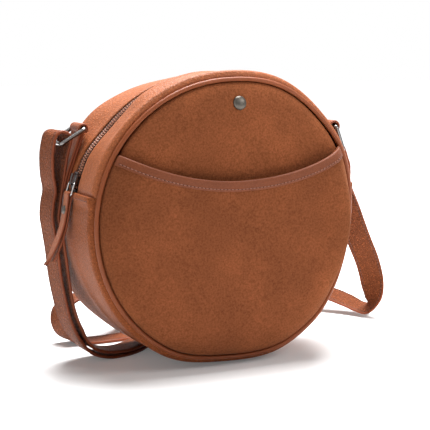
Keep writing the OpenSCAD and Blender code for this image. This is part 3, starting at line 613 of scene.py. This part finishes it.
for side, edge in (("front", front_y - piping_out), ("back", back_y + piping_out)):
    for part, tube_r, shape, material, node, slot in (
            ("_piping", piping_r, (300, 18, 0.08), piping_leather, "_piping_cover", None),
            ("_piping_core", core_r, (120, 8, 0.0), cord_cotton, "_piping_cord", "piping_cord")):
        tube = tube_mesh(ring_tube(piping_ring_r, tube_r, edge, *shape), closed=True)
        add_piece(side + part, tube, material, stands_for=[side + node], slot=slot)

# %% [markdown]
# ## Gusset
# The gusset is a band of leather. Its edges roll down into the piping seams, and
# it sags a little between them. Under the bag it is pressed flat by its weight.

# %% Bottom gusset
shoulder, shoulder_len, gusset_t = 3.4, 4.6, 1.8


def roll(y):
    """How far the band's surface drops towards its rolled edges."""
    near = np.clip((np.abs(y) - (gusset_half - shoulder_len)) / shoulder_len, 0, 1)
    return shoulder * (1 - np.sqrt(1 - near ** 2))


def even_rows(low, high, edge_count=9, middle_count=30):
    edge = shoulder_len * (1 - np.cos(np.linspace(0, np.pi / 2, edge_count)))
    middle = np.linspace(low + shoulder_len, high - shoulder_len, middle_count)[1:-1]
    return np.concatenate([low + shoulder_len - edge[::-1], middle, high - shoulder_len + edge])


def band(r_outer, r_inner, angles, ys):
    grid_a, grid_y = np.meshgrid(angles, ys, indexing="ij")
    return polar(r_outer(grid_a, grid_y), grid_a, grid_y), polar(r_inner(grid_a, grid_y), grid_a, grid_y)


def press_flat(points, floor):
    points = points.copy()
    points[..., 2] = np.maximum(points[..., 2], floor)
    return points


fold_len, fold_rise, lip, stitch_back = 9.0, 2.2, 0.9, 3.4
near_seam = np.array([0, 0.04, 0.12, 0.24, 0.4, 0.6, 0.9, 1.3, 1.8, 2.4, 3.0, 3.6, 4.2, 4.8])
below_right = 360 + right_seam
angles = np.concatenate([left_seam + near_seam, np.linspace(173.6, 366.4, 180), below_right - near_seam[::-1]])
ys = even_rows(-gusset_half, gusset_half)


def gusset_surface(a, y):
    from_seam = np.minimum(a - left_seam, below_right - a) * np.pi / 180 * bag_r
    rounding = np.clip(1 - from_seam / lip, 0, 1)
    fold = fold_rise * ramp(from_seam, fold_len, 2.5) - lip * (1 - np.sqrt(1 - rounding ** 2))
    fold = fold * ramp(np.abs(y), 5.6, 6.6)
    sag = 0.9 * np.cos(np.pi * y / 2 / gusset_half) ** 2 * bell(a, 222, 50) * ramp(np.abs(y), 0, 8)
    reach = np.where(a < 270, 38.2, 35.0)
    return bag_r - roll(y) + fold * ramp(np.abs(y), reach, reach - 1.6) - sag


outer, inner = band(gusset_surface, lambda a, y: bag_r - roll(y) - gusset_t, angles, ys)
outer, inner = press_flat(slump(outer), 0.05), press_flat(slump(inner), gusset_t)
add_piece("gusset_band", sheet_mesh(outer[:, ::-1], inner[:, ::-1]), gusset_leather,
          stands_for=["bottom_gusset"])

rows = []
for seam, inward in ((left_seam, 1), (below_right, -1)):
    for low, high in ((-35.5, -7.5), (7.5, 35.5)):
        y = np.linspace(low, high, 40)
        a = np.full_like(y, seam + inward * math.degrees(stitch_back / bag_r))
        line = slump(polar(gusset_surface(a, y), a, y))
        rows.append((line, polar(50.0, a, y) - polar(0.0, a, y)))
stitch_rows("gusset_stitches", rows, "gusset_leather")

# %% [markdown]
# ## Zip strips
# Two strips run over the top, each with its long edge turned in along the zip.
# The turned edge is rounded, so that it catches a line of light by the slot.
# The front strip is stuffed a little fuller and hides the zip from low in front.

# %% Zip strips
def strip_profile(edge):
    """Rows of (y, drop) from the rim to the turned edge of the front strip."""
    rows = []
    for i in range(9):
        a = math.pi / 2 * (1 - i / 8)
        y = -gusset_half + shoulder_len * (1 - math.sin(a))
        rows.append((y, float(roll(np.array(y)))))
    rows += [(y, 0.0) for y in np.linspace(-gusset_half + shoulder_len, -edge - 3, 14)[1:]]
    rows += [(-edge - 1.8 * (1 - math.sin(t)), 1.2 * (1 - math.cos(t)))
             for t in np.linspace(0.15, math.pi / 2, 7)]
    return np.array(rows)


zip_angles = np.linspace(right_seam + 0.06, left_seam - 0.06, 200)
for side, name, node in ((1, "zip_strip_front", "zip_gusset_front"), (-1, "zip_strip_rear", "zip_gusset_rear")):
    profile = strip_profile(slot_half + (0.9 if side > 0 else 0))
    a, y = np.meshgrid(zip_angles, side * profile[:, 0], indexing="ij")
    off = np.abs(y)
    arch = np.sin(np.radians((a - right_seam) * 180 / (left_seam - right_seam)))
    puff = 0.5 * np.sin(np.pi * ramp(off, slot_half, gusset_half)) * arch
    from_seam = np.minimum(a - right_seam, left_seam - a)
    puff = puff - 0.9 * ramp(from_seam, 1.9, 0.3) * ramp(off, slot_half + 1, slot_half + 3)
    if side > 0:
        puff = puff + 3.0 * ramp(a, 135, 121) * ramp(a, 70, 100) * ramp(-y, slot_half, 11) * ramp(-y, 27, 13)
    outer = slump(polar(bag_r - profile[None, :, 1] + puff, a, y))
    inner = slump(polar(bag_r - gusset_t - np.where(off < slot_half + 4, 0, profile[None, :, 1]), a, y))
    if side > 0:
        outer, inner = outer[:, ::-1], inner[:, ::-1]
    # Both strips take the leather that is painted lighter for the light on the top.
    add_piece(name, sheet_mesh(outer, inner), zip_strip_leather, stands_for=[node])

# %% [markdown]
# ## Tapes, foam and lining of the gusset
# These layers hardly show, but who looks into the zip's slot sees them.

# %% Hidden bands
over, under = (12.1, 167.9), (172.9, 367.1)
# Name, depths from and to, radius, thickness, angles, node, material, slot and least height.
for name, low, high, r, t, span, node, material, slot, least in (
        # The tapes take the near-black cloth that is painted as the slot's shade.
        ("zip_tape_band_front", -15.7, -0.7, 104.9, 0.8, over, "zip_tape_front", zip_tape_painted_shade_cloth, "zip_tape", 0),
        ("zip_tape_band_rear", 0.7, 15.7, 104.9, 0.8, over, "zip_tape_rear", zip_tape_painted_shade_cloth, "zip_tape", 0),
        ("gusset_foam_pad", -31.7, 31.7, 104.9, 2, under, "gusset_foam", foam, None, 1.9),
        ("gusset_lining_cloth", -31.7, 31.7, 102.8, 0.6, under, "gusset_lining", lining_cloth, None, 4)):
    outer, inner = band(lambda a, y: r, lambda a, y: r - t,
                        np.linspace(*span, 100), np.linspace(low, high, 12))
    outer, inner = press_flat(slump(outer), least), press_flat(slump(inner), least + t if least else 0)
    piece = add_piece(name, sheet_mesh(outer[:, ::-1], inner[:, ::-1]), material, stands_for=[node], slot=slot)

# %% [markdown]
# ## Zip coil
# A coil zip is one nylon wire wound into loops, two loops to each step of the
# teeth. Each loop here is a small bent rod that leans like the real winding, and
# the loops of the two sides take turns.

# %% Zip coil
coil_base, coil_r, pitch, rod = 104.85, 106, 2.0, 0.45


def coil(side):
    step = math.degrees(pitch / coil_r)
    starts = np.arange(13.6, 166.4, step) + (step / 2 if side > 0 else 0)
    turn = np.radians(np.linspace(0, 360, 6, endpoint=False))
    # A loop's middle line: distance from the zip's middle, height, and lean in pitches.
    path = [(3.05, 0.35, -0.2), (2.5, 0.95, -0.16), (1.3, 1.3, -0.06), (0.62, 1.05, 0.0), (0.48, 0.7, 0.05),
            (0.62, 0.38, 0.1), (1.6, 0.3, 0.18), (3.05, 0.3, 0.25)]
    centres = np.array([[side * y, h, a * pitch] for y, h, a in path])
    across = np.array([0.0, 0.0, 1.0])
    up = unit(np.cross(unit(np.gradient(centres, axis=0)), across))
    around = np.cos(turn)[None, :, None] * across + np.sin(turn)[None, :, None] * up[:, None]
    ring = centres[:, None] + rod * around
    points, faces = [], []
    for start in starts:
        faces += grid_faces(len(path), 6, len(points), True)
        loop = polar(coil_base + ring[..., 1], start + np.degrees(ring[..., 2] / coil_r), ring[..., 0])
        points += list(slump(loop).reshape(-1, 3))
    return points, faces


for side, word in ((-1, "front"), (1, "rear")):
    add_piece("zip_coil_loops_" + word, coil(side), coil_nylon, stands_for=["zip_coil_" + word])

# %% [markdown]
# ## Strips of leather
# Strap, chapes and pull are all flat strips that bend along a path. A strip is
# a rounded section carried along a smooth line, with a direction for its width
# at every place. Cut leather has slightly rounded, darker edges.

# %% Strip helper
def catmull(rows, steps):
    rows = np.asarray(rows, float)
    padded = np.concatenate([rows[:1], rows, rows[-1:]])
    t = np.linspace(0, 1, steps, endpoint=False)[:, None]
    spans = []
    for i in range(len(rows) - 1):
        a, b, c, d = padded[i:i + 4]
        spans.append((2 * b + (c - a) * t + (2 * a - 5 * b + 4 * c - d) * t ** 2
                      + (3 * b - a - 3 * c + d) * t ** 3) / 2)
    return np.concatenate(spans + [rows[-1:]])


front_edge = np.array([0.0, -1.0, 0.0])


def strip_frame(centres, widths=front_edge):
    """A strip's run, width and face directions. Its widths are one direction or one for each place."""
    run = unit(np.gradient(centres, axis=0))
    across = unit(widths - (widths * run).sum(1)[:, None] * run)
    return run, across, np.cross(run, across)


def strip_sections(centres, widths, width, thickness, edge=0.7, groove=0.0):
    """Sections of a strip of one width, or one for each place, with a groove pressed under each seam."""
    run, across, face = strip_frame(centres, widths)
    half = np.broadcast_to(np.asarray(width, float) / 2, (len(centres),))[:, None]
    t = thickness / 2
    top = [(4.2, t), (2.85, t), (2.2, t - groove), (1.55, t), (edge, t), (0.18, t * 0.62)]
    side = [*top, (0, 0), *((inset, -lift) for inset, lift in reversed(top))]
    outline = [(1, *place) for place in side] + [(-1, *place) for place in reversed(side)]
    return np.stack([centres + across * (sign * (half - inset)) + face * lift
                     for sign, inset, lift in outline], 1)


def paint_edges(piece, columns=26):
    """Give the faces on a strip's two cut edges the painted finish."""
    piece.data.materials.append(painted_edge)
    for polygon in piece.data.polygons:
        if len(polygon.vertices) == 4 and polygon.index % columns in (4, 5, 6, 7, 17, 18, 19, 20):
            polygon.material_index = 1


def add_strip(name, centres, width, thickness, material, **settings):
    tube = tube_mesh(strip_sections(centres, front_edge, width, thickness), flip=True)
    piece = add_piece(name, tube, material, **settings)
    paint_edges(piece)
    return piece


# %% [markdown]
# ## Strap
# The strap is one flat strip, about 1.3 metres long and 20 mm wide. These rows
# are its route: from the sewn tail behind the bag, up and over the left ring,
# through the adjuster, in a lobe behind the bag and round to the right ring.
# A row's fourth part, where it has one, is the direction of its front edge.

# %% Strap route
turned = (0.17, -0.985, 0)
route = [
    # Tail, from the adjuster to the left on the floor.
    (-4.3, 60, 8.2), (-15, 59.6, 7.4), (-25, 54.8, 6.3), (-37, 44.2, 4.9), (-49, 33.4, 4.4),
    (-61, 26.6, 4.4), (-73, 23.6, 5.4), (-84, 22.4, 9), (-91.5, 21.6, 16, (0.08, -1, 0)),
    # Inner layer, up to the left ring.
    (-96, 21.2, 24, turned), (-100.3, 21, 34, turned), (-103.8, 21, 47.5, turned),
    (-106.2, 21, 65, turned), (-108.2, 21, 82, turned), (-110.8, 21, 99, turned),
    (-112.7, 21, 107, turned), (-112, 21, 114, turned), (-110.9, 21, 124, (0.24, -0.97, 0)),
    (-109.3, 21, 136, (0.3, -0.95, 0)), (-106.3, 21, 151.5, (0.28, -0.96, 0)),
    # Over the ring.
    (-102.6, 21, 161.9, turned), (-103.3, 21, 165.6, turned), (-106.3, 21, 168, turned),
    (-109.8, 21, 168.3, turned), (-113, 21, 166.4, turned), (-114.6, 21, 161.9, turned),
    # Outer layer, down again.
    (-116.3, 21, 152, turned), (-116.2, 21, 138, turned), (-114.7, 21, 127, turned),
    (-116.4, 21, 117.5, turned), (-117.2, 21, 108, turned), (-115.9, 21, 98, turned),
    (-113.6, 21, 82, turned), (-111.8, 21, 65, turned), (-108.6, 21, 47.5, turned),
    (-104.2, 21, 30.4, turned),
    # On the floor and through the adjuster.
    (-96, 21.4, 15.5, (0.08, -1, 0)), (-86.5, 22, 6.2), (-74, 23.4, 1.9), (-62, 26.4, 1.2),
    (-50, 33.2, 1.2), (-38, 44, 1.6), (-26, 54.8, 2.6), (-15, 59.6, 3.45), (13, 60, 3.45),
    (41.7, 60, 3.25),
    # Round and back to the left.
    (52.3, 60.3, 2.4), (63, 61, 1.8), (74.8, 63.2, 4.1), (82.8, 68.8, 12.3), (79.6, 75.8, 21.9),
    (68.4, 80.7, 23), (55.5, 83.3, 13.9), (42.7, 84.5, 4.8), (28.8, 84.9, 1.2), (5.3, 84.9, 1.2),
    (-15, 82.6, 1.2), (-32, 77, 1.2), (-48.1, 73.4, 1.2), (-63.5, 73, 1.2),
    # Lobe at the left rear.
    (-76.2, 73.4, 1.8), (-84.5, 73.6, 4.3, (0.15, -0.99, 0)), (-90, 73.7, 10.3, (0.3, -0.95, 0)),
    (-92.4, 73.7, 19.4, (0.35, -0.94, 0)), (-90.6, 74.2, 27.6, (0.3, -0.95, 0)),
    (-83.8, 75.8, 33.6, (0.15, -0.99, 0)), (-73.7, 78.5, 35.9), (-61.9, 82.3, 34), (-50.2, 87.6, 27.8),
    # To the right behind the bag.
    (-39.5, 94.5, 18.6), (-27.8, 102.5, 9.5), (-12.8, 106.8, 3.2), (3.2, 107.4, 1.3), (34.2, 107.4, 1.2),
    (66.2, 107.5, 1.8), (92, 109, 4, (0, -1, -0.2)), (118, 109.5, 9.5, (-0.1, -0.9, -0.35)),
    # Curl on the floor and up to the right ring.
    (142, 104.5, 15.5, (-0.45, -0.75, -0.35)), (157.5, 93.5, 15.5, (-0.7, -0.6, -0.32)),
    (168, 79, 11, (-0.75, -0.55, -0.28)), (174.6, 67, 6.8, (-0.7, -0.65, -0.2)),
    (178, 58.5, 8.5, (-0.25, -0.95, 0)), (180.5, 56, 18.5, (0.3, -0.92, 0.12)),
    (178, 54.5, 34, (0.8, -0.55, 0.25)), (169.8, 49.5, 51.1, (0.87, -0.43, 0.25)),
    (157, 42, 70, (0.87, -0.43, 0.22)), (142, 33, 94, (0.8, -0.55, 0.2)),
    (129.5, 25.5, 118, (0.4, -0.9, 0.05)),
    # Round the right ring.
    (128.5, 21, 133.6), (126.5, 21, 140.6), (124.1, 21, 147.4), (122.6, 21, 150), (119.7, 21, 150),
    (118.3, 21, 147.4), (119.4, 21, 140.4), (122.2, 21, 133), (124.7, 21, 127.5)]
row_steps, strap_w, strap_t = 7, 20.0, 2.2
strap_line = catmull([row[:3] for row in route], row_steps)
edges = np.array([row[3] if len(row) > 3 else front_edge for row in route], float)
spots = np.linspace(0, len(route) - 1, len(strap_line))
strap_edges = np.stack([np.interp(spots, range(len(route)), edges[:, i]) for i in range(3)], 1)
print("strap length", round(float(np.linalg.norm(np.diff(strap_line, axis=0), axis=1).sum())), "mm")

# %% [markdown]
# The strap is built in five stretches. Three of them, the ones listed with a body
# and two places, are left out of the bag's body and have their places baked into
# their points. Their ends share the same section, so no joint shows.

# %% Strap stretches
# Name, first and last row, nodes, and a body with two places in metres; only
# whether this last part is given is read.
stretches = [
    ("strap_sewn_tail", 0, 3, ["strap_tail"], ("adjuster", (-0.034, 0.055, 0.005), (-0.006, 0.06, 0.008))),
    ("strap_inner_run", 3, 10, ["strap_tail_run"], None),
    ("strap_over_left_ring", 10, 35, ["strap_left_hang"],
     ("left_ring", (-0.108, 0.021, 0.115), (-0.108, 0.021, 0.166))),
    ("strap_floor_run", 35, 83, ["strap_front_run", "strap_rear_run", "strap_right_curl"], None),
    ("strap_to_right_ring", 83, 96, ["strap_right_hang"],
     ("right_ring", (0.17, 0.05, 0.05), (0.122, 0.021, 0.14)))]
run, across, face = strip_frame(strap_line, strap_edges)
sections = strip_sections(strap_line, strap_edges, strap_w, strap_t, groove=0.16)
seam = (strap_w / 2 - 2.2) * across
for name, first, last, nodes, giving in stretches:
    part, body = slice(first * row_steps, last * row_steps + 1), None if giving else "bag"
    strap_piece = add_piece(name, tube_mesh(sections[part], flip=True), strap_leather, body, stands_for=nodes)
    paint_edges(strap_piece)
    rows = [(strap_line[part] + side * seam[part] + lift * strap_t / 2 * face[part], lift * face[part])
            for side in (-1, 1) for lift in (-1, 1)]
    thread_piece = stitch_rows(name + "_stitches", rows, "strap_leather", body, radius=0.34, sink=0.2)
    if giving:
        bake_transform(strap_piece)
        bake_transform(thread_piece)

# %% [markdown]
# ## Chapes
# A chape is a short strap, doubled over a ring's bar and sewn into the side
# seam. The left one first follows the gusset's curve; the right one stands off.

# %% Chapes
def doubled(bar, places, layer, bar_r):
    """The line of a strip that comes up along places, turns round the bar and goes back down."""
    places, bar = np.array(places, float), np.array(bar, float)
    run = unit(np.gradient(places, axis=0))
    side = np.stack([-run[:, 1], run[:, 0]], 1)
    end = math.atan2(run[-1, 1], run[-1, 0])
    turn = np.radians(np.linspace(125, -125, 15))
    loop = [bar + bar_r * np.array([math.cos(end + t), math.sin(end + t)]) for t in turn]
    return np.array([*(places + layer * side)[:-1], *loop, *(places - layer * side)[::-1][1:]])


def heading(angle):
    """The unit vector at an angle in degrees."""
    return np.array([math.cos(math.radians(angle)), math.sin(math.radians(angle))])


def in_strap_plane(line, y=strap_plane):
    return np.stack([line[:, 0], np.full(len(line), y), centre_z + line[:, 1]], 1)


left_bar, right_bar = np.array([-91.884, 65.368]), np.array([114.346, 61.241])
left_places = [108.7 * heading(a) for a in (167.8, 166, 164, 162, 160)]
left_places += [left_places[-1] + s * (left_bar - left_places[-1]) for s in (0.25, 0.5, 0.75, 0.9, 1)]
right_start = np.array([106.123, 23.527])
right_places = [right_start + s * (right_bar - right_start) for s in (0, 0.2, 0.4, 0.6, 0.8, 0.92, 1)]
for name, bar, places, loop_r, node in (("left_chape_strip", left_bar, left_places, 2.9, "left_chape"),
                                        ("right_chape_strip", right_bar, right_places, 4.0, "right_chape")):
    line = in_strap_plane(catmull(doubled(bar, places, 0.9, loop_r), 3))
    add_strip(name, line, strap_w, 1.75, chape_leather, stands_for=[node])
    run, across, face = strip_frame(line)
    rows = [(line + side * 7.9 * across + 0.87 * face, face) for side in (-1, 1)]
    stitch_rows(name + "_stitches", rows, "chape_leather", radius=0.34, sink=0.12)

# %% [markdown]
# ## Leather pull
# The zip's pull is one tapered strip, folded over the puller's wire and held by
# a rivet. Its outer layer curls away from the bag at the tip.

# %% Leather pull
pull_len, lean = 52.0, math.radians(10)
pull_end = np.array([-107.645, 20.563])
# Places on the two layers, as shares of the pull's length: down, and out from the bag.
outer_share = [(0.11, 0.018), (0.27, 0.018), (0.42, 0.024), (0.58, 0.05), (0.75, 0.093), (0.9, 0.142),
               (0.99, 0.176)]
inner_share = [(0.11, -0.018), (0.27, -0.018), (0.42, -0.012), (0.58, 0.006), (0.75, 0.038), (0.92, 0.078)]


def pull_place(share):
    down, out = pull_len * share[0], pull_len * share[1]
    return pull_end + np.array([-out * math.cos(lean) - down * math.sin(lean),
                                out * math.sin(lean) - down * math.cos(lean)])


wire_turn = [pull_end + 1.53 * heading(a) for a in (205, 165, 125, 85, 45, 5, -35)]
pull_line = catmull([*map(pull_place, reversed(outer_share)), *wire_turn, *map(pull_place, inner_share)], 6)
down_share = ((pull_end - pull_line) @ np.array([math.sin(lean), math.cos(lean)])) / pull_len
pull_width = 9.4 * np.interp(down_share, [0.7, 0.85, 1.0], [1.0, 0.8, 0.28])
add_strip("pull_strip", in_strap_plane(pull_line, 0.0), pull_width, 1.45, pull_leather,
          body="pull_tab", stands_for=["leather_pull"])

# %% [markdown]
# ## Sewn loop at the adjuster
# The strap's end goes round the middle bar of the adjuster and is sewn to
# itself, which is what keeps the slide on the strap.

# %% Loop at the adjuster
bar_x, bar_height, loop_y = 13.03, 8.18, 60.04
loop_turn = [np.array([bar_x, bar_height]) + 2.2 * heading(a) for a in range(90, -91, -20)]
loop_line = np.array([(x, bar_height + 1.12) for x in (-3.9, 0, 4, 8, 11)] + loop_turn
                     + [(x, bar_height - 1.12) for x in (11, 8, 4, 0, -3.9)])
loop_line = catmull(np.stack([loop_line[:, 0], np.full(len(loop_line), loop_y), loop_line[:, 1]], 1), 3)
add_strip("strap_loop_strip", loop_line, strap_w, 2.15, strap_leather,
          body="adjuster", stands_for=["strap_end_loop"])
cross_rows = [(np.array([[x, loop_y - 7.5, bar_height + 2.2], [x, loop_y + 7.5, bar_height + 2.2]]),
               np.tile([0, 0, 1.0], (2, 1))) for x in (-1.5, 5)]
stitch_rows("strap_loop_stitches", cross_rows, "strap_leather", body="adjuster")

# %% [markdown]
# ## Floor and light
# A white floor and a white world give the catalogue background. Camera rays see
# white; other rays see a softer room, so that the leather isn't washed out. The
# floor's glow fades near the bag, which paints the floor round it darker as shade.
# Large lamps above and to the left give soft shadows.

# %% Floor and world
floor_mesh = bpy.data.meshes.new("floor")
floor_mesh.from_pydata([(-6, -6, 0), (6, -6, 0), (6, 6, 0), (-6, 6, 0)], [], [(0, 1, 2, 3)])
add_object("floor", floor_mesh)
paper, paper_tree, paper_shader = start_material("paper", 0.9)
floor_mesh.materials.append(paper)
fill(paper_tree, paper_shader, {"Base Color": (0.9, 0.9, 0.9, 1), "Specular IOR Level": 0.0})


def seen_directly(tree):
    """1 for rays from the camera, in gloss and through glass, otherwise 0."""
    path = add_node(tree, "LightPath", {})
    total = path.outputs["Is Camera Ray"]
    for other in ("Is Glossy Ray", "Is Transmission Ray"):
        total = maths(tree, "ADD", total, path.outputs[other], clamp=True)
    return total


place = add_node(paper_tree, "TexCoord", {})
reach = add_node(paper_tree, "VectorMath", {0: place.outputs["Object"]}, operation="LENGTH")
# The glow rises from 0.12 by the bag to 1 further out, so the floor by the bag is painted darker: painted shade
# that deepens the lamps' shadow.
glow_with_painted_shade = add_node(paper_tree, "MapRange", {"Value": reach.outputs["Value"], "From Min": 0.15, "From Max": 0.55,
                                        "To Min": 0.12, "To Max": 1.0})
strength = maths(paper_tree, "MULTIPLY", seen_directly(paper_tree), glow_with_painted_shade.outputs["Result"])
glow = add_node(paper_tree, "Emission", {"Strength": strength})
both = add_node(paper_tree, "AddShader", {0: paper_shader.outputs[0], 1: glow.outputs[0]})
fill(paper_tree, paper_tree.nodes["Material Output"], {"Surface": both.outputs[0]})

world = bpy.data.worlds.new("world")
bpy.context.scene.world = world
world.use_nodes = True
room = world.node_tree
level = add_node(room, "MapRange", {"Value": seen_directly(room), "To Min": 0.1, "To Max": 1.0})
fill(room, room.nodes["Background"], {"Color": (1, 1, 1, 1), "Strength": level.outputs["Result"]})

# %% Lamps
def add_lamp(name, place, target, size, power):
    lamp = add_object(name, bpy.data.lights.new(name, "AREA"))
    lamp.location = place
    lamp.rotation_euler = (Vector(place) - Vector(target)).to_track_quat("Z", "Y").to_euler()
    lamp.data.size, lamp.data.energy = size, power
    lamp.visible_camera = False


add_lamp("overhead", (0.2, 0.28, 1.3), (0, 0, 0.1), 0.9, 52)
add_lamp("right_front", (0.42, -0.5, 0.52), (0.03, -0.04, 0.12), 0.35, 2.0)
add_lamp("left", (-1.1, -0.25, 0.5), (0, 0, 0.1), 0.9, 1.6)
bpy.context.scene.view_settings.view_transform = "Standard"
